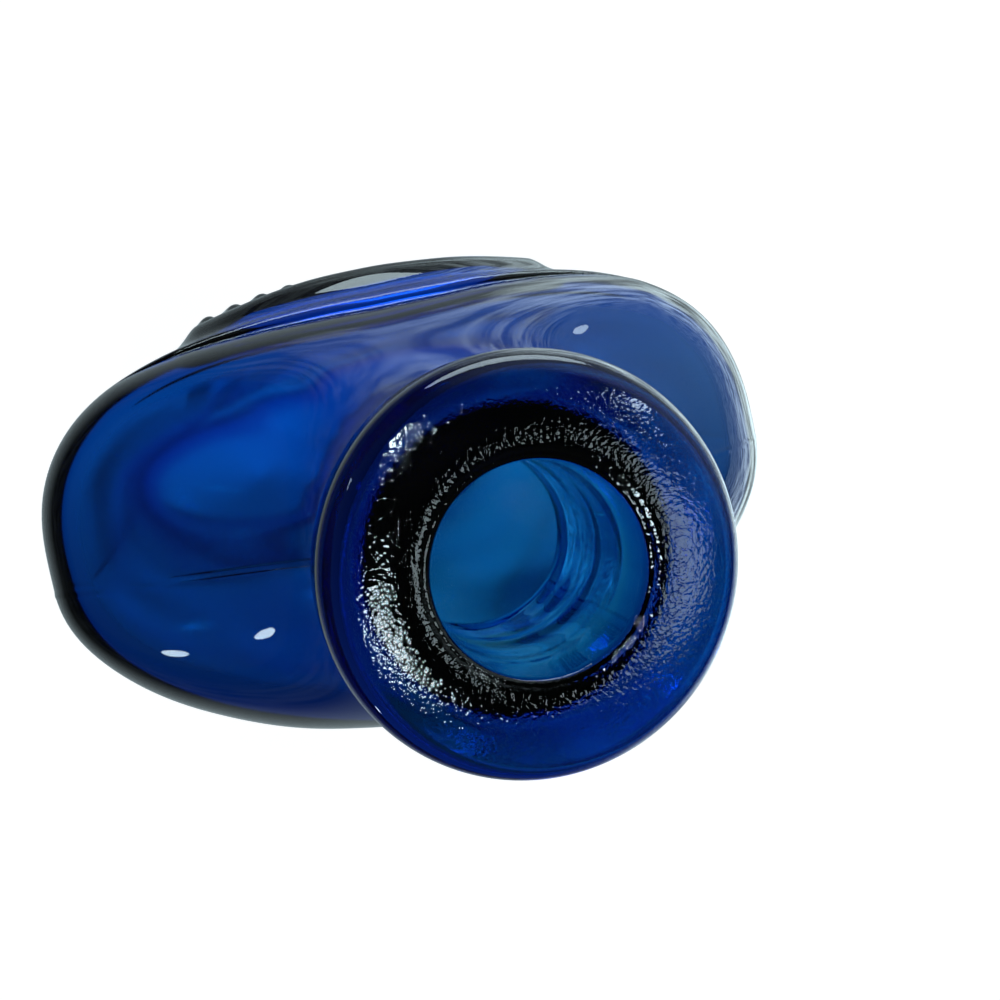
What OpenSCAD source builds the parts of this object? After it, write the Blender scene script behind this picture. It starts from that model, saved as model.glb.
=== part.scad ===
// Oval poison bottle of cobalt glass: a moulded vessel with a lip ring laid on over the neck.
// Millimetres, +Z up, origin on the resting plane under the neck, raised panel towards -Y.

/* [Body] */
// Width of the oval body
body_w = 79; // [60:0.1:110]
// Depth from the neck's centre line to the flatter front wall
front_depth = 24; // [20:0.1:32]
// Depth from the neck's centre line to the round back wall
back_depth = 22.6; // [19:0.1:32]
// Height where the walls turn into the shoulder
shoulder_z = 134; // [90:0.2:180]
// Squareness of the front half of the oval, where 2 is an ellipse
front_square = 2.9; // [2:0.1:4]
// Squareness of the back half of the oval, where 2 is an ellipse
back_square = 1.9; // [1.7:0.1:4]
// Thickness of the walls
wall = 3.4; // [2:0.1:4.5]

/* [Base] */
// Height of the rounded heel
heel_r = 4.5; // [2:0.1:6]
// Width of the rounded heel, from the walls in to the standing ring
heel_w = 3.6; // [1.6:0.1:5]
// Width of the ring that the bottle stands on
foot_w = 3; // [2:0.1:5]
// Depth of the push-up under the base
push_up = 2.6; // [1:0.1:4]
// Width of the slope between the standing ring and the push-up
push_up_slope = 6; // [3:0.1:8]
// Thickness of the glass over the push-up
base_t = 6; // [4:0.1:9]
// Radius of the cavity's lower corner
cavity_heel_r = 7; // [4:0.1:9]

/* [Shoulder] */
// Depth of the ledge where the front wall rolls in to the shoulder, at its middle
ledge_w = 1.4; // [0.5:0.1:2.5]
// Height of that ledge's rounding
ledge_h = 1.3; // [0.5:0.1:3]
// Length of the ledge across the front
ledge_span = 58; // [44:0.5:70]
// Height over which the cavity's front wall follows the ledge
cavity_ledge_h = 5; // [2:0.1:8]
// Height of the shoulder, from its edge to the foot of the neck
shoulder_h = 28; // [20:0.5:40]
// Height of the shoulder inside, from the walls to the throat
cavity_shoulder_h = 29; // [20:0.5:40]

/* [Neck] */
// Outer diameter of the neck
neck_d = 24; // [20:0.1:30]
// Diameter of the bore, which takes the cork
bore_d = 16.4; // [13:0.1:20]
// Length of the bare neck, from the shoulder to the lip ring
neck_l = 17.5; // [8:0.1:30]
// Width of the fine step where the mould ended at the foot of the neck
mould_step = 0.2; // [0.15:0.05:0.5]

/* [Lip ring] */
// Outer diameter of the lip ring
lip_d = 33; // [27:0.1:40]
// Height of the lip ring
lip_h = 8.5; // [7:0.1:14]
// Thickness of the lip ring over the rim of the neck
lip_cover = 3; // [2:0.1:4]
// Radius of the top edge of the lip ring
lip_edge_r = 2.4; // [1.5:0.1:3]
// Fall of the lip's top face, from its crest out to the rounded edge
lip_fall = 0.5; // [0.2:0.1:1]
// Height of the widest band of the lip ring
lip_band = 2.6; // [0.5:0.1:3]
// Radius of the lower edge of that band
lip_under_r = 1.4; // [0.5:0.1:2]
// Width of the lip ring's foot, which rests round the neck
lip_foot_w = 0.8; // [0.4:0.1:1.2]
// Radius of the mouth's rounded edge
mouth_r = 0.6; // [0.3:0.1:0.9]

/* [Front panel] */
// Width of the raised panel
panel_w = 43; // [32:0.1:52]
// Height of the lower edge of the panel above the resting plane
panel_z = 13; // [10:0.5:20]
// Distance from the panel's upper edge to the start of the shoulder
panel_head_gap = 1.5; // [1:0.1:10]
// How far the panel stands out of the front wall at its middle
panel_out = 3.2; // [2:0.1:5]
// Radius of the panel's crowned face
panel_crown_r = 70; // [50:1:150]
// Radius of the panel's long edges
panel_edge_r = 2.8; // [1.5:0.1:4]
// Height over which each end of the panel rounds off
panel_end_h = 5; // [3:0.1:8]
// Depth inside the front wall where that rounding starts
panel_sunk = 2.55; // [1:0.05:4]

/* [Warning ribs] */
// Number of ribs on each side of the bare middle
ribs_a_side = 4; // [1:1:5]
// Distance between two ribs
rib_pitch = 3.5; // [3:0.1:4]
// Distance from the panel's long edge to the middle of the nearest rib
rib_edge_gap = 4.6; // [4:0.1:8]
// Diameter of a rib, most of which is sunk in the panel
rib_d = 2.8; // [2:0.1:3]
// How far a rib stands out of the panel
rib_out = 0.9; // [0.4:0.1:1.2]
// Bare height of panel above the ribs
rib_top_gap = 26; // [8:0.5:40]
// Bare height of panel below the ribs
rib_foot_gap = 9; // [8:0.5:20]

/* [Hidden] */
$fn = 96;

// Heights up the bottle
neck_foot_z = shoulder_z + shoulder_h;
lip_z = neck_foot_z + neck_l;
top_z = lip_z + lip_h;
rim_z = top_z - lip_cover;
cavity_z = push_up + base_t;
throat_z = shoulder_z + cavity_shoulder_h - wall / 2;
cavity_shoulder_z = shoulder_z - wall / 2;

// Points round one section, and steps along each curve of the profile
section_points = 80;
cavity_points = 56;
heel_steps = 5;
slope_steps = 3;
ledge_steps = 3;
shoulder_steps = 13;
cavity_shoulder_steps = 10;
panel_end_steps = 6;
panel_edge_steps = 4;
panel_crown_steps = 16;

// Where the shoulder's curve pulls, as [share of the way out, share of the height]
shoulder_pull_low = [0.97, 0.34];
shoulder_pull_high = [0.10, 0.50];

// How far the neck runs down into the shoulder, and the bore into the cavity
neck_sunk = shoulder_h / 4;
bore_sunk = wall;

// One side of the rounded square law, kept to its sign
function squared(v, n) = sign(v) * pow(abs(v), 2 / n);

// Points of one oval: half width, front and back depth, and how square each half is
function oval(a, bf, bb, nf, nb, count) = [
    for (i = [0 : count - 1])
        let (t = 360 * (i + 0.5) / count, front = sin(t) < 0)
            [a * squared(cos(t), front ? nf : nb),
             (front ? bf : bb) * squared(sin(t), front ? nf : nb)]
];

// How far the ledge takes a point of the front back towards the centre line
function ledge_at(p) =
    p[1] > 0 ? 0 : ledge_w * max(0, 1 - pow(2 * p[0] / ledge_span, 2));

// The body's oval drawn in by an even inset, at a height, with the front wall's own outline
// at ledge = 0 and the shoulder's foot at ledge = 1
function body_ring(inset, z, count, ledge = 0) = [
    for (p = oval(body_w / 2 - inset, front_depth - inset, back_depth - inset,
                  front_square, back_square, count))
        [p[0], p[1] + ledge * ledge_at(p), z]
];

// An oval between the body's, at out = 1, and a circle round the neck, at out = 0
function blend_ring(out, inset, r, z, count) = [
    for (p = oval(r + (body_w / 2 - inset - r) * out,
                  r + (front_depth - inset - r) * out,
                  r + (back_depth - inset - r) * out,
                  2 + (front_square - 2) * out, 2 + (back_square - 2) * out, count))
        [p[0], p[1] + out * ledge_at(p), z]
];

// A point on the curve that starts at [1, 0], ends at [0, 1] and is pulled by two others
function pulled(t, low, high) =
    pow(1 - t, 3) * [1, 0] + 3 * t * pow(1 - t, 2) * low + 3 * t * t * (1 - t) * high
    + pow(t, 3) * [0, 1];

// Rings from the foot of a shoulder up to its throat
function shoulder_rings(inset, r, z, h, steps, count) = [
    for (i = [1 : steps])
        let (p = pulled(i / steps, shoulder_pull_low, shoulder_pull_high))
            blend_ring(p[0], inset, r, z + h * p[1], count)
];

// Points along an arc about a centre, with a radius for each direction
function arc(centre, r, from, to, steps) = [
    for (i = [0 : steps]) let (t = from + (to - from) * i / steps)
        centre + [r[0] * cos(t), r[1] * sin(t)]
];

// Solid skinned over closed rings of equal length, with a flat cap at each end
module skin(rings) {
    n = len(rings[0]);
    m = len(rings);
    polyhedron(
        points = [for (ring = rings) each ring],
        faces = concat(
            [[for (i = [0 : n - 1]) i]],
            [for (k = [0 : m - 2], i = [0 : n - 1])
                [k * n + i, (k + 1) * n + i, (k + 1) * n + (i + 1) % n]],
            [for (k = [0 : m - 2], i = [0 : n - 1])
                [k * n + i, (k + 1) * n + (i + 1) % n, k * n + (i + 1) % n]],
            [[for (i = [n - 1 : -1 : 0]) (m - 1) * n + i]]
        )
    );
}

// Outside of the body, from the push-up round the heel and up the shoulder to the neck
module body_form() {
    foot_in = heel_w + foot_w;
    skin(concat(
        [for (i = [slope_steps : -1 : 0]) let (t = 180 * i / slope_steps)
            body_ring(foot_in + push_up_slope * i / slope_steps,
                      push_up * (1 - cos(t)) / 2, section_points)],
        [for (i = [0 : heel_steps]) let (t = 90 * i / heel_steps)
            body_ring(heel_w * (1 - sin(t)), heel_r * (1 - cos(t)), section_points)],
        [for (i = [0 : ledge_steps]) let (t = 90 * i / ledge_steps)
            body_ring(0, shoulder_z - ledge_h * (1 - sin(t)), section_points, 1 - cos(t))],
        shoulder_rings(0, neck_d / 2 + mould_step, shoulder_z, shoulder_h,
                       shoulder_steps, section_points)
    ));
}

// Space inside the body, from over the push-up to the throat
module cavity_form() {
    skin(concat(
        [for (i = [0 : heel_steps]) let (t = 90 * i / heel_steps)
            body_ring(wall + cavity_heel_r * (1 - sin(t)),
                      cavity_z + cavity_heel_r * (1 - cos(t)), cavity_points)],
        [body_ring(wall, cavity_shoulder_z - cavity_ledge_h, cavity_points),
         body_ring(wall, cavity_shoulder_z, cavity_points, 1)],
        shoulder_rings(wall, bore_d / 2 + mould_step, cavity_shoulder_z,
                       throat_z - cavity_shoulder_z, cavity_shoulder_steps, cavity_points)
    ));
}

// Depth of the panel's crowned face at a distance from its middle
panel_centre_y = panel_crown_r - front_depth - panel_out;
function panel_y(x) = panel_centre_y - sqrt(pow(panel_crown_r, 2) - x * x);

// Raised panel, or the hollow behind it: its plan, cut by its outline as seen from the side
module front_panel(inset = 0) {
    root_y = -front_depth / 2;
    foot_z = panel_z + inset;
    head_z = shoulder_z - panel_head_gap - inset;
    half = panel_w / 2 - inset;
    crown_r = panel_crown_r - inset;
    corner_x = half - panel_edge_r;
    reach = crown_r - panel_edge_r;
    corner_y = panel_centre_y - sqrt(reach * reach - corner_x * corner_x);
    lean = asin(corner_x / reach);
    plan = concat(
        [[-half, root_y]],
        arc([-corner_x, corner_y], [1, 1] * panel_edge_r, 180, 270 - lean, panel_edge_steps),
        arc([0, panel_centre_y], [1, 1] * crown_r, 270 - lean, 270 + lean, panel_crown_steps),
        arc([corner_x, corner_y], [1, 1] * panel_edge_r, 270 + lean, 360, panel_edge_steps),
        [[half, root_y]]
    );
    end_d = panel_out + panel_sunk;
    end_y = inset - front_depth + panel_sunk;
    side = concat(
        [[root_y, foot_z]],
        arc([end_y, foot_z + panel_end_h], [end_d, panel_end_h], 270, 180, panel_end_steps),
        arc([end_y, head_z - panel_end_h], [end_d, panel_end_h], 180, 90, panel_end_steps),
        [[root_y, head_z]]
    );
    intersection() {
        translate([0, 0, foot_z]) linear_extrude(head_z - foot_z) polygon(plan);
        rotate([90, 0, 90]) translate([0, 0, -panel_w]) linear_extrude(2 * panel_w)
            polygon(side);
    }
}

// One upright rib with round ends, sunk into the panel
module rib(x) {
    foot = panel_z + rib_foot_gap;
    head = shoulder_z - rib_top_gap;
    translate([x, panel_y(x) + rib_d / 2 - rib_out, foot]) {
        cylinder(d = rib_d, h = head - foot);
        sphere(d = rib_d);
        translate([0, 0, head - foot]) sphere(d = rib_d);
    }
}

// Moulded vessel: base, walls, raised panel with its ribs, shoulder and neck in one
module vessel() {
    color("#123c9c") difference() {
        union() {
            body_form();
            translate([0, 0, neck_foot_z - neck_sunk])
                cylinder(d = neck_d, h = rim_z - neck_foot_z + neck_sunk);
            front_panel();
            for (side = [-1, 1], i = [0 : ribs_a_side - 1])
                rib(side * (panel_w / 2 - rib_edge_gap - i * rib_pitch));
        }
        cavity_form();
        front_panel(wall);
        translate([0, 0, throat_z - bore_sunk])
            cylinder(d = bore_d, h = rim_z - throat_z + bore_sunk + 1);
    }
}

// Lip ring: laid over the rim of the neck and down round its outside
module lip_ring() {
    bore_r = bore_d / 2;
    neck_r = neck_d / 2;
    crest_r = (bore_r + mouth_r + neck_r) / 2;
    mouth_z = top_z - lip_fall / 2 - mouth_r;
    edge_z = top_z - lip_fall - lip_edge_r;
    color("#1d4fd0") rotate_extrude()
        polygon(concat(
            [[neck_r, lip_z], [neck_r, rim_z], [bore_r, rim_z]],
            arc([bore_r + mouth_r, mouth_z], [1, 1] * mouth_r, 180, 100, 4),
            [[crest_r, top_z]],
            arc([lip_d / 2 - lip_edge_r, edge_z], [1, 1] * lip_edge_r, 80, 0, 6),
            arc([lip_d / 2 - lip_under_r, edge_z - lip_band], [1, 1] * lip_under_r, 0, -40, 3),
            [[neck_r + lip_foot_w, lip_z]]
        ));
}

vessel();
lip_ring();
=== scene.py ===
"""Looks of an old cobalt poison bottle, seen down its mouth: one body of fused glass on a white floor."""

import math

import bpy
import numpy as np
from mathutils import Matrix, Vector


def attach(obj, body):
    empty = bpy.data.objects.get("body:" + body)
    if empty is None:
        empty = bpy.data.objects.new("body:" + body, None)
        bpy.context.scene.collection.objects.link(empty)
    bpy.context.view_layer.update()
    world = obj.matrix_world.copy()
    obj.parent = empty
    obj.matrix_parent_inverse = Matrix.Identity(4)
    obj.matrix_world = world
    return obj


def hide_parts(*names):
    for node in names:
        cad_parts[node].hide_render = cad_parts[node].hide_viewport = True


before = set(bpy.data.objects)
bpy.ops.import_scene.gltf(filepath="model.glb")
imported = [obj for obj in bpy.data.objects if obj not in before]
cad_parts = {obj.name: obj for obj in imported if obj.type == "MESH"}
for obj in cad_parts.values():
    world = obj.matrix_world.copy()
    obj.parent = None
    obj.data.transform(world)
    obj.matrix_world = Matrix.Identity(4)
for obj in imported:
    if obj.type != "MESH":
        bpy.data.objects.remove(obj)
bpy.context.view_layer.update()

MM = 0.001

# Camera: the lens, where the bottle's own axis vanishes in the picture, how far its long axis
# leans there, and the centre of the lip's widest circle from the lens: right, down and away
LENS_MM, SENSOR_MM, FRAME_PX = 54.0, 36.0, 1000.0
AXIS_VANISHES_PX = (164.0, 389.0)
LONG_AXIS_LEAN = math.radians(-12.8)
LIP_FROM_LENS = Vector((2.4, 5.0, 114.0)) * MM

# Sizes of the bottle, in millimetres, as the solids have them
HALF_W, FRONT, BACK = 39.5, 24.0, 22.6
FRONT_SQUARE, BACK_SQUARE = 2.9, 1.9
LEDGE_W, LEDGE_H, LEDGE_HALF, CAVITY_LEDGE_H = 1.4, 0.9, 29.0, 3.5
SHOULDER_Z, SHOULDER_H, CAVITY_SHOULDER_H = 134.0, 28.0, 29.0
WALL = 3.4
HEEL_R, FOOT_OUT, FOOT_W = 4.5, 3.6, 3.0
PUSH_UP, PUSH_SLOPE, BASE_T = 2.6, 6.0, 6.0
CAVITY_HEEL_R = 7.0
NECK_R, BORE_R, NECK_L = 12.0, 8.2, 17.5
LIP_R, LIP_H, LIP_EDGE_R, LIP_FALL, LIP_BAND = 16.5, 8.5, 2.4, 0.5, 2.6
LIP_UNDER_R, LIP_FOOT_W, MOUTH_R = 1.4, 0.8, 0.6
PANEL_HALF, PANEL_Z, PANEL_HEAD = 21.5, 13.0, 132.5
PANEL_OUT, PANEL_CROWN_R, PANEL_EDGE, PANEL_END = 3.2, 70.0, 3.2, 4.6
RIB_X = [PANEL_HALF - 4.6 - 3.5 * i for i in range(4)]
RIB_R, RIB_OUT, RIB_FOOT, RIB_HEAD = 1.4, 0.9, 22.0, 108.0

# Heights that follow from them
NECK_FOOT_Z = SHOULDER_Z + SHOULDER_H
LIP_Z = NECK_FOOT_Z + NECK_L
TOP_Z = LIP_Z + LIP_H
MOUTH_Z = TOP_Z - LIP_FALL / 2 - MOUTH_R
BAND_Z = TOP_Z - LIP_FALL - LIP_EDGE_R
CAVITY_Z = PUSH_UP + BASE_T
CAVITY_SHOULDER_Z = SHOULDER_Z - WALL / 2
THROAT_Z = SHOULDER_Z + CAVITY_SHOULDER_H - WALL / 2
PULL_LOW, PULL_HIGH = (0.97, 0.34), (0.10, 0.50)

# Edges of the hollow behind the panel, which blown glass rounds off
HOLLOW_EDGE, HOLLOW_END = 6.0, 5.0
# Ridges that the tool left round the bore: depth below the mouth, how far they slant, the way
# that they slant, in radians, and how far they stand in
RIDGES = ((2.6, 0.5, 0.4, 0.10), (6.0, 1.4, 1.2, 0.17), (9.5, 1.1, 2.6, 0.14),
          (14.0, 1.8, 4.0, 0.20), (18.5, 1.5, 5.1, 0.15), (23.0, 1.2, 0.2, 0.12))
RIDGE_HALF = 1.5
# Mould seams up the two narrow sides: half width and height
SEAM_HALF, SEAM_OUT = 0.5, 0.06
# How far the hollow sits off the middle, which leaves one side of the glass thicker
OFF_MIDDLE = (-0.8, -0.35)
# Unevenness of the glass: radius that its waves are laid out on, waves for each length, and
# the lengths and heights outside and inside, with how far they are drawn out up the bottle
WAVE_R, WAVES_EACH = 24.0, 6
OUTSIDE_WAVES = ((40, 17, 7), (0.18, 0.09, 0.03), 3)
INSIDE_WAVES = ((46, 21, 9), (0.55, 0.24, 0.05), 4)

# Glass: what it takes out of red, green and blue light, in shares a metre
GLASS_IOR = 1.52
TAKEN_A_METRE = (900.0, 270.0, 85.0)
# Haze, as roughness: on the outside, on the lip's tooled top, and on the stained inside
HAZE_OUT, HAZE_LIP, HAZE_IN = 0.0, 0.0, 0.12
# The lip's stipple: lumps a metre and depth in metres of each grain
GRAIN = ((3000.0, 0.000045), (900.0, 0.00002))

# The room: half the floor's side and its height, the ways in which the floor and the walls are
# lit and where each starts to turn bright, how bright each looks in a reflection, against that
# way and along it, where the walls give way to the ceiling, and how bright each looks through glass.
# On the floor this light is painted: the floor glows with it to reflections and to rays through the glass
FLOOR, FLOOR_Z = 3.0, -0.0001
FLOOR_SIDE, WALL_SIDE = (-0.98, -0.17, 0), (-0.77, -0.64, 0)
FLOOR_TURN, WALL_TURN = -0.1, 0.45
FLOOR_SHINE, WALL_SHINE, CEILING = (0.04, 1.8), (0.02, 0.6), 0.02
CEILING_FROM, CEILING_TO = 0.55, 0.9
THROUGH_SIDE, THROUGH_TURN = (-0.1, -0.99, 0), -0.8
FLOOR_THROUGH, WALL_THROUGH = (0.24, 0.6), (0.08, 0.45)
# Painted light under the bottle: through the glass the floor glows up to UNDER_MORE times brighter, from
# UNDER_FROM out to UNDER_TO from the axis
UNDER_FROM, UNDER_TO, UNDER_MORE = 0.03, 0.1, 1.7
# Distances on the floor: where its painted shine fades, with the least share left, where the
# painted shade close to the bottle lifts, with the share it leaves, and where the painted highlight
# round the bottle's foot ends, with its brightness; blotches a metre in that painted shine, and the tint of
# daylight
FADE_FROM, FADE_TO, FADE_LEFT = 0.35, 1.1, 0.3
NEAR_SHADE_FROM, NEAR_SHADE_TO, NEAR_SHADE_LEFT = 0.08, 0.24, 0.35
FOOT_FROM, FOOT_TO, FOOT_SHINE = 0.12, 0.4, 0.5
SHINE_BLOTCHES, SHINE_BLOTCH_LEAST, SHINE_BLOTCH_MOST = 14.0, 0.4, 2.4
DAYLIGHT = (0.74, 0.93, 1.0, 1)
# The floor's own grey, and the glow that makes it white to the camera
FLOOR_GREY, FLOOR_GLOW = 0.36, 0.92
LAMP_AWAY = 0.9


def eased(u):
    u = np.clip(u, 0, 1)
    return u * u * (3 - 2 * u)


def camera_axes():
    """The bottle's X, Y and Z as the camera sees them: right, down and away."""
    focal = FRAME_PX * LENS_MM / SENSOR_MM
    down_axis = Vector((AXIS_VANISHES_PX[0] - FRAME_PX / 2, AXIS_VANISHES_PX[1] - FRAME_PX / 2, focal))
    down_axis.normalize()
    across = Vector((0, 1, 0)).cross(down_axis).normalized()
    along = down_axis.cross(across)
    lean_c, lean_s = math.cos(LONG_AXIS_LEAN), math.sin(LONG_AXIS_LEAN)
    return -(lean_c * across + lean_s * along), lean_c * along - lean_s * across, -down_axis


def make_camera(lip_centre):
    turn = Matrix(camera_axes())
    right, down, away = (turn @ Vector(way) for way in ((1, 0, 0), (0, 1, 0), (0, 0, 1)))
    place = lip_centre - (right * LIP_FROM_LENS.x + down * LIP_FROM_LENS.y + away * LIP_FROM_LENS.z)
    data = bpy.data.cameras.new("camera")
    data.lens, data.sensor_width = LENS_MM, SENSOR_MM
    data.clip_start, data.clip_end = 0.005, 10
    camera = bpy.data.objects.new("camera", data)
    axes = Matrix((right, -down, -away)).transposed().to_4x4()
    camera.matrix_world = Matrix.Translation(place) @ axes
    bpy.context.scene.collection.objects.link(camera)
    bpy.context.scene.camera = camera


def angles():
    """Directions round the axis: close together across the panel and at the mould seams."""
    panel = math.radians(47)
    front = np.linspace(-math.pi / 2 - panel, -math.pi / 2 + panel, 181)
    rest = np.linspace(-math.pi / 2 + panel, 1.5 * math.pi - panel, 231)[1:-1]
    seam = np.arange(-4, 5) * SEAM_HALF / HALF_W / 3
    near = np.minimum(abs(rest), abs(rest - math.pi)) < abs(seam[0]) * 1.3
    return np.sort(np.concatenate([front, rest[~near], seam, seam + math.pi]))


THETA = angles()
COS, SIN = np.cos(THETA), np.sin(THETA)


def ring(radius, z):
    return np.stack([radius * COS, radius * SIN, np.full_like(THETA, z)], axis=1)


def round_ring(radius, z):
    return ring(np.full_like(THETA, radius), z)


def oval_ring(half_w, front, back, front_square, back_square, z, ledge):
    """A ring on the oval, whose front the ledge under the shoulder takes back towards the axis."""
    depth = np.where(SIN < 0, front, back)
    square = np.where(SIN < 0, front_square, back_square)
    points = ring((np.abs(COS / half_w) ** square + np.abs(SIN / depth) ** square) ** (-1 / square), z)
    taken = LEDGE_W * np.maximum(0, 1 - (points[:, 0] / LEDGE_HALF) ** 2)
    points[:, 1] += np.where(SIN < 0, taken * ledge, 0)
    return points


def body_ring(inset, z, ledge=0.0):
    return oval_ring(HALF_W - inset, FRONT - inset, BACK - inset, FRONT_SQUARE, BACK_SQUARE, z, ledge)


def blend_ring(out, inset, r, z):
    """A ring of a shoulder, from the body's oval at out = 1 to a circle at out = 0."""
    half_w, front, back = (r + (size - inset - r) * out for size in (HALF_W, FRONT, BACK))
    return oval_ring(half_w, front, back, 2 + (FRONT_SQUARE - 2) * out, 2 + (BACK_SQUARE - 2) * out, z, out)


def pulled(t):
    a, b, c, d = (1 - t) ** 3, 3 * t * (1 - t) ** 2, 3 * t * t * (1 - t), t ** 3
    return a + b * PULL_LOW[0] + c * PULL_HIGH[0], b * PULL_LOW[1] + c * PULL_HIGH[1] + d


def arc(r, z, radius, start, end, steps):
    """Points (distance from the axis, height) along an arc of the profile."""
    turn = np.radians(np.linspace(start, end, steps + 1))
    return [(r + radius * math.cos(t), z + radius * math.sin(t)) for t in turn]


def outside_rings():
    """From the middle of the push-up round the heel, up the walls and shoulder, to the neck's top."""
    rings = []
    foot_in = FOOT_OUT + FOOT_W
    for share in np.linspace(0.02, 0.9, 10):
        middle = body_ring(foot_in + PUSH_SLOPE, PUSH_UP)
        middle[:, :2] *= share
        rings.append(middle)
    for i in np.linspace(1, 0, 9):
        rings.append(body_ring(foot_in + PUSH_SLOPE * i, PUSH_UP * (1 - math.cos(math.pi * i)) / 2))
    rings.append(body_ring((foot_in + FOOT_OUT) / 2, 0))
    for t in np.radians(np.linspace(0, 90, 13)):
        rings.append(body_ring(FOOT_OUT * (1 - math.sin(t)), HEEL_R * (1 - math.cos(t))))
    for z in np.linspace(HEEL_R, SHOULDER_Z - LEDGE_H, 170)[1:]:
        rings.append(body_ring(0, z))
    for t in np.radians(np.linspace(0, 90, 8)[1:]):
        rings.append(body_ring(0, SHOULDER_Z - LEDGE_H * (1 - math.sin(t)), 1 - math.cos(t)))
    for t in np.linspace(0, 1, 60)[1:]:
        out, up = pulled(t)
        rings.append(blend_ring(out, 0, NECK_R, SHOULDER_Z + SHOULDER_H * up))
    for z in np.linspace(NECK_FOOT_Z, LIP_Z - 0.3, 24)[1:]:
        rings.append(round_ring(NECK_R, z))
    return rings


def lip_rings():
    """The lip ring's own skin, from under its foot over the top to the edge of the mouth."""
    foot_r = NECK_R + LIP_FOOT_W
    crest_r = (BORE_R + MOUTH_R + NECK_R) / 2
    points = [(NECK_R + 0.1, LIP_Z - 0.08), (foot_r - 0.25, LIP_Z), (foot_r + 0.05, LIP_Z + 0.12)]
    under = arc(LIP_R - LIP_UNDER_R, BAND_Z - LIP_BAND, LIP_UNDER_R, -50, 0, 8)
    slope = np.linspace(points[-1], under[0], 8)
    points += [tuple(p) for p in slope[1:-1]]
    points += under
    points += [(LIP_R, BAND_Z - LIP_BAND * (1 - share)) for share in np.linspace(0, 1, 6)[1:-1]]
    points += arc(LIP_R - LIP_EDGE_R, BAND_Z, LIP_EDGE_R, 0, 80, 18)
    outer_r, outer_z = points[-1]
    for share in np.linspace(0, 1, 22)[1:]:
        points.append((outer_r + (crest_r - outer_r) * share,
                       TOP_Z - (TOP_Z - outer_z) * (1 - share) ** 1.7))
    mouth = arc(BORE_R + MOUTH_R, MOUTH_Z, MOUTH_R, 90, 180, 10)
    for share in np.linspace(0, 1, 12)[1:-1]:
        points.append((crest_r + (mouth[0][0] - crest_r) * share,
                       TOP_Z - (TOP_Z - mouth[0][1]) * share ** 4))
    points += mouth
    return [round_ring(r, z) for r, z in points]


def inside_rings():
    """Down the bore, through the throat and down the cavity's walls to the middle of its floor."""
    rings = [round_ring(BORE_R, z) for z in np.linspace(MOUTH_Z, THROAT_Z, 30)[1:]]
    height = THROAT_Z - CAVITY_SHOULDER_Z
    for t in np.linspace(1, 0, 50)[1:]:
        out, up = pulled(t)
        rings.append(blend_ring(out, WALL, BORE_R, CAVITY_SHOULDER_Z + height * up))
    for z in np.linspace(CAVITY_SHOULDER_Z, CAVITY_Z + CAVITY_HEEL_R, 130)[1:]:
        rings.append(body_ring(WALL, z, 1 - eased((CAVITY_SHOULDER_Z - z) / CAVITY_LEDGE_H)))
    for t in np.radians(np.linspace(90, 0, 13)[1:]):
        rings.append(body_ring(WALL + CAVITY_HEEL_R * (1 - math.sin(t)),
                               CAVITY_Z + CAVITY_HEEL_R * (1 - math.cos(t))))
    for share in np.linspace(0.9, 0.02, 10):
        middle = body_ring(WALL + CAVITY_HEEL_R, CAVITY_Z)
        middle[:, :2] *= share
        rings.append(middle)
    return rings


def panel_lift(points, inset, edge, end):
    """How far the crowned panel, or the hollow behind it, stands out, and its share of full height."""
    x, y, z = points.T
    reach = PANEL_CROWN_R - inset
    crown = PANEL_CROWN_R - FRONT - PANEL_OUT - np.sqrt(reach ** 2 - np.clip(x, -40, 40) ** 2)
    share = (eased((PANEL_HALF - inset - np.abs(x)) / edge + 0.15)
             * eased((z - PANEL_Z - inset) / end + 0.1) * eased((PANEL_HEAD - inset - z) / end + 0.1))
    share = np.where((y < 0) & (z < PANEL_HEAD + 1), share, 0)
    return np.maximum(y - crown, 0) * share, share


def rib_lift(points):
    """How far the upright ribs stand out of the panel."""
    x, _, z = points.T
    beyond = np.maximum(0, np.maximum(z - RIB_HEAD, RIB_FOOT - z))
    heights = [np.sqrt(np.maximum(RIB_R ** 2 - (np.abs(x) - centre) ** 2 - beyond ** 2, 0))
               for centre in RIB_X]
    return np.maximum(np.max(heights, axis=0) - (RIB_R - RIB_OUT), 0)


def seam_lift(points):
    """The low ridges where the two halves of the mould met, wiped off below the neck."""
    x, y, z = points.T
    return (SEAM_OUT * eased(1 - np.abs(y) / SEAM_HALF) * eased((z - 2) / 4)
            * eased((NECK_FOOT_Z - 8 - z) / 12))


def waves(rings, lengths, heights, stretch, seed):
    """A smooth uneven field over a run of rings, drawn out along the way from base to mouth."""
    made = np.random.default_rng(seed)
    steps = [np.linalg.norm(b - a, axis=1).mean() for a, b in zip(rings, rings[1:])]
    along = np.concatenate([[0], np.cumsum(steps)])
    place = np.stack([np.tile(WAVE_R * COS, len(rings)), np.tile(WAVE_R * SIN, len(rings)),
                      np.repeat(along / stretch, len(THETA))], axis=1)
    total = np.zeros(len(place))
    for length, height in zip(lengths, heights):
        for _ in range(WAVES_EACH):
            way = made.normal(size=3)
            way *= 2 * math.pi / (length * np.linalg.norm(way))
            total += height / math.sqrt(WAVES_EACH) * np.sin(place @ way + made.uniform(0, 2 * math.pi))
    return total


def ridge_lift(points):
    """How far the ridges round the bore stand in, and fade out, at each point."""
    x, y, z = points.T
    around = np.arctan2(y, x)
    total = np.zeros(len(points))
    for depth, slant, way, height in RIDGES:
        middle = MOUTH_Z - depth + slant * np.cos(around - way)
        total += height * (0.7 + 0.3 * np.cos(around - 2 * way)) * np.exp(-((z - middle) / RIDGE_HALF) ** 2)
    return total


def push_out(points, push):
    flat = np.hypot(points[:, 0], points[:, 1])
    points[:, :2] += (push / flat)[:, None] * points[:, :2]


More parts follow.
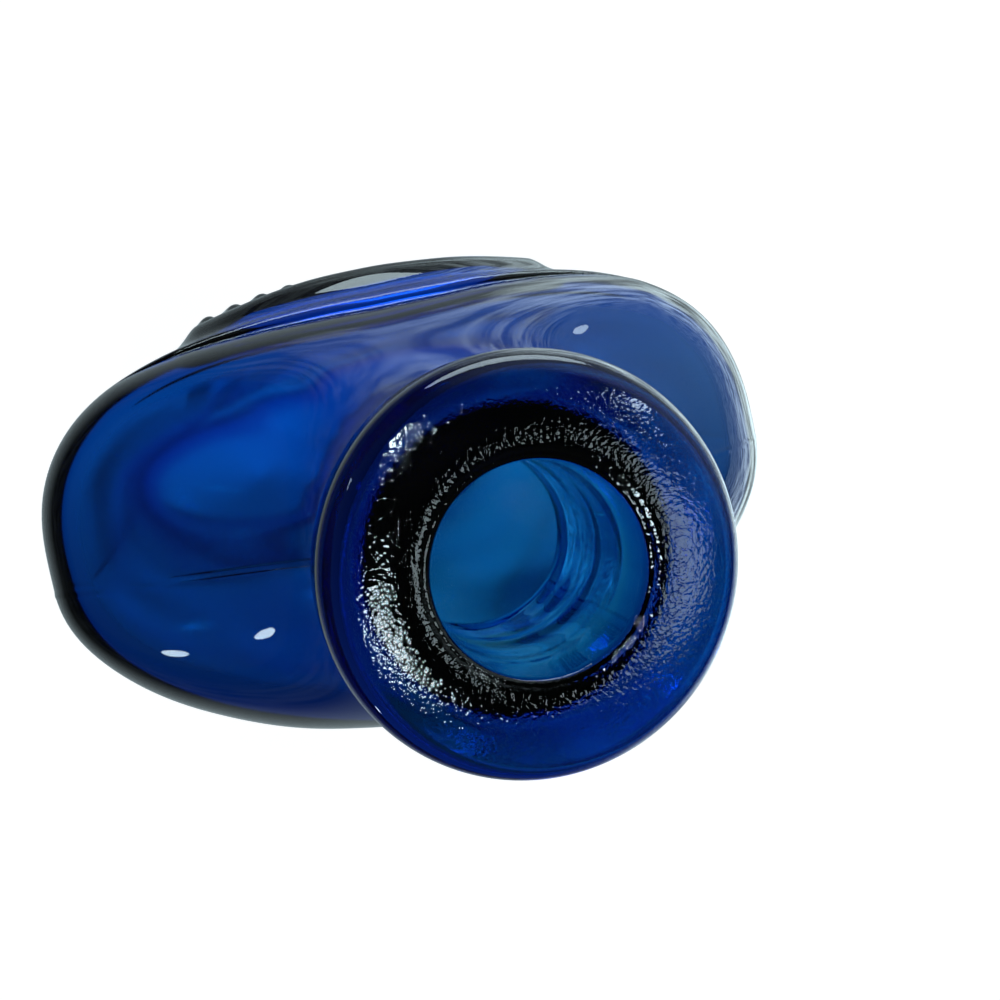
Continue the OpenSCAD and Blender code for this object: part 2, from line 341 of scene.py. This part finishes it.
def lip_share(points):
    """Share of the tooled surface at each point: full over the top of the lip."""
    r, z = np.hypot(points[:, 0], points[:, 1]), points[:, 2]
    return (eased((z - (BAND_Z + 0.5)) / 1.6) * eased((r - BORE_R + 0.1) / 0.7)
            * (0.12 + 0.88 * eased((15.2 - r) / 2.2)))


def glass_mesh():
    """The whole bottle as one closed skin, because light crosses no seam in fused glass."""
    outside, lip, inside = outside_rings(), lip_rings(), inside_rings()
    outer, inner, lips = np.concatenate(outside), np.concatenate(inside), np.concatenate(lip)
    lift, share = panel_lift(outer, 0, PANEL_EDGE, PANEL_END)
    outer[:, 1] -= lift + share * rib_lift(outer)
    inner[:, 1] -= panel_lift(inner, WALL, HOLLOW_EDGE, HOLLOW_END)[0]

    # Hand-made glass is uneven, and the inside more so, because only the outside met the mould
    calm = eased((outer[:, 2] - 3) / 8) * eased((NECK_FOOT_Z + 6 - outer[:, 2]) / 8)
    push_out(outer, calm * waves(outside, *OUTSIDE_WAVES, seed=3) + seam_lift(outer))
    flat = np.hypot(inner[:, 0], inner[:, 1])
    calm = eased((THROAT_Z + 2 - inner[:, 2]) / 12) * eased((flat - 2) / 8)
    push_out(inner, calm * waves(inside, *INSIDE_WAVES, seed=11) - ridge_lift(inner))
    inner[:, :2] += calm[:, None] * OFF_MIDDLE

    points = np.concatenate([outer, lips, inner])
    around, rows = len(THETA), len(points) // len(THETA)
    first = np.arange(around)
    then = (first + 1) % around
    faces = []
    for k in range(rows - 1):
        a, b = k * around, (k + 1) * around
        faces += np.stack([a + first, a + then, b + then, b + first], axis=1).tolist()
    low, last = len(points), (rows - 1) * around
    faces += [(low, j, i) for i, j in zip(first.tolist(), then.tolist())]
    faces += [(low + 1, last + i, last + j) for i, j in zip(first.tolist(), then.tolist())]
    points = np.concatenate([points, [(0, 0, PUSH_UP), (0, 0, CAVITY_Z)]])

    mesh = bpy.data.meshes.new("bottle_glass")
    mesh.from_pydata((points * MM).tolist(), [], faces)
    mesh.polygons.foreach_set("use_smooth", [True] * len(mesh.polygons))
    tooled = lip_share(points)
    stained = np.zeros(len(points))
    stained[len(outer) + len(lips):] = 1
    stained *= eased((THROAT_Z - points[:, 2]) / 10)
    haze = HAZE_OUT + (HAZE_LIP - HAZE_OUT) * tooled + (HAZE_IN - HAZE_OUT) * stained
    for name, values in (("tooled", tooled), ("haze", haze)):
        mesh.attributes.new(name, "FLOAT", "POINT").data.foreach_set("value", values)
    mesh.update()
    mesh.validate()
    return mesh


def add(tree, kind, settings=None, **inputs):
    """A node with its settings, and inputs given as values or as another node's outputs."""
    made = tree.nodes.new(kind)
    for name, value in (settings or {}).items():
        setattr(made, name, value)
    for name, value in inputs.items():
        socket = made.inputs[name.replace("_", " ")]
        if isinstance(value, bpy.types.NodeSocket):
            tree.links.new(value, socket)
        else:
            socket.default_value = value
    return made


def calc(tree, operation, *values):
    made = tree.nodes.new("ShaderNodeMath")
    made.operation = operation
    for socket, value in zip(made.inputs, values):
        if isinstance(value, bpy.types.NodeSocket):
            tree.links.new(value, socket)
        else:
            socket.default_value = value
    return made.outputs[0]


def new_material(name):
    mat = bpy.data.materials.new(name)
    mat.use_nodes = True
    mat.node_tree.nodes.clear()
    return mat, mat.node_tree


def cobalt_glass():
    mat, tree = new_material("cobalt_glass")
    place = add(tree, "ShaderNodeTexCoord").outputs["Object"]
    height = 0.0
    for scale, depth in GRAIN:
        noise = add(tree, "ShaderNodeTexNoise", Vector=place, Scale=scale, Detail=1.0)
        height = calc(tree, "MULTIPLY_ADD", noise.outputs["Fac"], depth, height)
    tooled = add(tree, "ShaderNodeAttribute", {"attribute_name": "tooled"})
    haze = add(tree, "ShaderNodeAttribute", {"attribute_name": "haze"})
    bump = add(tree, "ShaderNodeBump", Distance=1.0, Height=height, Strength=tooled.outputs["Fac"])
    glass = add(tree, "ShaderNodeBsdfPrincipled", Base_Color=(1, 1, 1, 1), Transmission_Weight=1.0,
                IOR=GLASS_IOR, Roughness=haze.outputs["Fac"], Normal=bump.outputs[0])
    most = max(TAKEN_A_METRE)
    kept = [1 - taken / most for taken in TAKEN_A_METRE]
    absorb = add(tree, "ShaderNodeVolumeAbsorption", Color=(*kept, 1), Density=most)
    add(tree, "ShaderNodeOutputMaterial", Surface=glass.outputs[0], Volume=absorb.outputs[0])
    return mat


def make_bottle():
    mesh = glass_mesh()
    bottle = bpy.data.objects.new("bottle_glass", mesh)
    bpy.context.scene.collection.objects.link(bottle)
    mesh.materials.append(cobalt_glass())
    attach(bottle, "root")
    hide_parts("vessel", "lip_ring")


def spread(tree, value, start, end, first, last):
    """From the first value to the last as another value goes from its start to its end."""
    return add(tree, "ShaderNodeMapRange", {"interpolation_type": "SMOOTHSTEP"}, Value=value, From_Min=start,
               From_Max=end, To_Min=first, To_Max=last).outputs["Result"]


def by_side(tree, way, side, turn, values):
    """From the first value to the second as a direction turns towards a side of the room."""
    flat = add(tree, "ShaderNodeVectorMath", {"operation": "MULTIPLY"})
    unit = add(tree, "ShaderNodeVectorMath", {"operation": "NORMALIZE"})
    along = add(tree, "ShaderNodeVectorMath", {"operation": "DOT_PRODUCT"})
    tree.links.new(way, flat.inputs[0])
    flat.inputs[1].default_value = (1, 1, 0)
    tree.links.new(flat.outputs[0], unit.inputs[0])
    tree.links.new(unit.outputs[0], along.inputs[0])
    along.inputs[1].default_value = side
    return spread(tree, along.outputs["Value"], turn, 1.0, *values)


def seen_by(tree, path, shine, through):
    """What a reflected ray sees, and what a ray that has passed through the glass sees."""
    more = calc(tree, "SUBTRACT", through, shine)
    return calc(tree, "MULTIPLY_ADD", path["Is Transmission Ray"], more, shine)


def make_floor():
    """A white floor that keeps the object's shadow for the camera, and glows with painted light to
    reflections and to rays through the glass.
    """
    mesh = bpy.data.meshes.new("floor")
    corners = [(x * FLOOR, y * FLOOR, FLOOR_Z) for x, y in ((-1, -1), (1, -1), (1, 1), (-1, 1))]
    mesh.from_pydata(corners, [], [(0, 1, 2, 3)])
    floor = bpy.data.objects.new("floor", mesh)
    bpy.context.scene.collection.objects.link(floor)
    mat, tree = new_material("white_floor")
    path = add(tree, "ShaderNodeLightPath").outputs
    place = add(tree, "ShaderNodeTexCoord").outputs["Object"]
    far = add(tree, "ShaderNodeVectorMath", {"operation": "LENGTH"})
    tree.links.new(place, far.inputs[0])
    far = far.outputs["Value"]
    shine_blotch = add(tree, "ShaderNodeTexNoise", Vector=place, Scale=SHINE_BLOTCHES, Detail=5.0).outputs["Fac"]
    # Painted light: the floor's glow in reflections, bright on one side, fading far off, with painted shade
    # close to the bottle, blotches, and a painted highlight round the foot
    shine = calc(tree, "MULTIPLY", by_side(tree, place, FLOOR_SIDE, FLOOR_TURN, FLOOR_SHINE),
                 spread(tree, far, FADE_FROM, FADE_TO, 1.0, FADE_LEFT))
    shine = calc(tree, "MULTIPLY", shine, spread(tree, far, NEAR_SHADE_FROM, NEAR_SHADE_TO, NEAR_SHADE_LEFT, 1.0))
    shine = calc(tree, "MULTIPLY", shine, spread(tree, shine_blotch, 0.35, 0.65, SHINE_BLOTCH_LEAST, SHINE_BLOTCH_MOST))
    shine = calc(tree, "MAXIMUM", shine, spread(tree, far, FOOT_FROM, FOOT_TO, FOOT_SHINE, 0.0))
    # Painted light: the floor's glow through the glass, brighter towards one side and painted brighter under
    # the bottle
    through = calc(tree, "MULTIPLY", by_side(tree, place, THROUGH_SIDE, THROUGH_TURN, FLOOR_THROUGH),
                   spread(tree, far, UNDER_FROM, UNDER_TO, UNDER_MORE, 1.0))
    room = seen_by(tree, path, shine, through)
    matte = add(tree, "ShaderNodeBsdfDiffuse", Color=(FLOOR_GREY, FLOOR_GREY, FLOOR_GREY, 1))
    glow = add(tree, "ShaderNodeEmission", Strength=FLOOR_GLOW)
    lit = add(tree, "ShaderNodeAddShader")
    tree.links.new(matte.outputs[0], lit.inputs[0])
    tree.links.new(glow.outputs[0], lit.inputs[1])
    either = add(tree, "ShaderNodeMixShader", Fac=path["Is Camera Ray"])
    tree.links.new(add(tree, "ShaderNodeEmission", Color=DAYLIGHT, Strength=room).outputs[0],
                   either.inputs[1])
    tree.links.new(lit.outputs[0], either.inputs[2])
    add(tree, "ShaderNodeOutputMaterial", Surface=either.outputs[0])
    mesh.materials.append(mat)


def make_room():
    """A white backdrop for the camera, with dimmer walls and a dark ceiling for the glass to reflect."""
    world = bpy.data.worlds.new("white_room")
    bpy.context.scene.world = world
    world.use_nodes = True
    tree = world.node_tree
    path = add(tree, "ShaderNodeLightPath").outputs
    way = add(tree, "ShaderNodeTexCoord").outputs["Generated"]
    up = add(tree, "ShaderNodeSeparateXYZ", Vector=way).outputs["Z"]
    low = spread(tree, up, CEILING_FROM, CEILING_TO, 1.0, 0.0)
    shine = calc(tree, "MULTIPLY_ADD", by_side(tree, way, WALL_SIDE, WALL_TURN, WALL_SHINE), low, CEILING)
    room = seen_by(tree, path, shine, by_side(tree, way, THROUGH_SIDE, THROUGH_TURN, WALL_THROUGH))
    room = calc(tree, "MAXIMUM", room, path["Is Camera Ray"])
    tint = add(tree, "ShaderNodeMixRGB", Fac=path["Is Camera Ray"], Color1=DAYLIGHT, Color2=(1, 1, 1, 1))
    tree.links.new(tint.outputs[0], tree.nodes["Background"].inputs["Color"])
    tree.links.new(room, tree.nodes["Background"].inputs["Strength"])


def soft_lamp(name, towards, size, brightness):
    """A soft lamp in a direction from the lip, LAMP_AWAY from it, with its width, height and brightness."""
    data = bpy.data.lights.new(name, "AREA")
    data.shape, data.size, data.size_y = "ELLIPSE", size[0], size[1]
    data.energy = brightness * math.pi ** 2 / 4 * size[0] * size[1]
    data.color = DAYLIGHT[:3]
    lamp = bpy.data.objects.new(name, data)
    lamp.visible_camera = False
    bpy.context.scene.collection.objects.link(lamp)
    aim = Vector((0, 0, BAND_Z)) * MM
    lamp.location = aim + Vector(towards).normalized() * LAMP_AWAY
    lamp.rotation_mode = "QUATERNION"
    lamp.rotation_quaternion = (aim - lamp.location).to_track_quat("-Z", "Y")


make_camera(Vector((0, 0, BAND_Z)) * MM)
make_bottle()
make_floor()
make_room()
soft_lamp("front_window", (-0.25, -0.96, 0.02), (0.9, 0.36), 6)
soft_lamp("key", (0.12, -0.31, 0.95), (0.05, 0.05), 80)
soft_lamp("back_lamp", (0.15, 0.25, 0.96), (0.15, 0.15), 30)
soft_lamp("side_lamp", (-0.45, 0.2, 0.88), (0.25, 0.35), 3.5)
soft_lamp("far_lamp", (-0.6, -0.24, 0.8), (0.04, 0.2), 14)
soft_lamp("low_lamp", (0.74, 0.67, 0.02), (0.06, 0.06), 12)
soft_lamp("left_lamp", (0.74, -0.55, 0.42), (0.05, 0.05), 12)
bpy.context.scene.view_settings.view_transform = "Standard"
